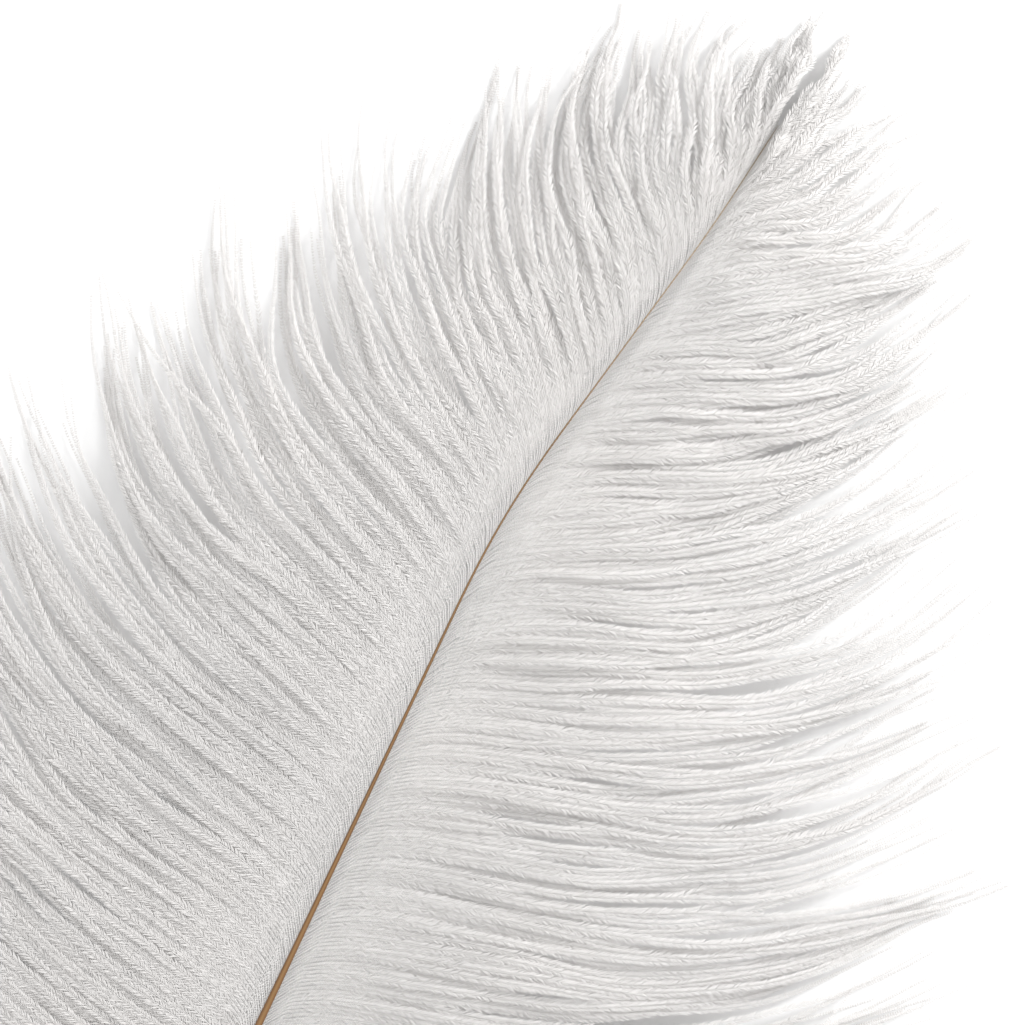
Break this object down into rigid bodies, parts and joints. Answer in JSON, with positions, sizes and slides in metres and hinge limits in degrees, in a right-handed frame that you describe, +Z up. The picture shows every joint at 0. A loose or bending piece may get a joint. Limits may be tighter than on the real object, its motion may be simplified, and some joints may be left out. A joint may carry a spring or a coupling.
{
  "type": "ostrich feather",
  "caption": "Large white ostrich plume lying flat: a tapering honey-coloured horn shaft with soft, loose, pointed locks of barbs along both sides.",
  "frame": {"origin": "on the table, under the bare quill, 22 mm from the quill's end", "axes": "+Y along the feather towards its tip, +Z up from the table, +X to the right seen from above"},
  "size_m": [0.296, 0.5003, 0.0163],
  "materials": {
    "white_plume": "matte",
    "honey_horn": "satin"
  },
  "bodies": {
    "root": {"feather": "white_plume"}
  },
  "joints": []
}
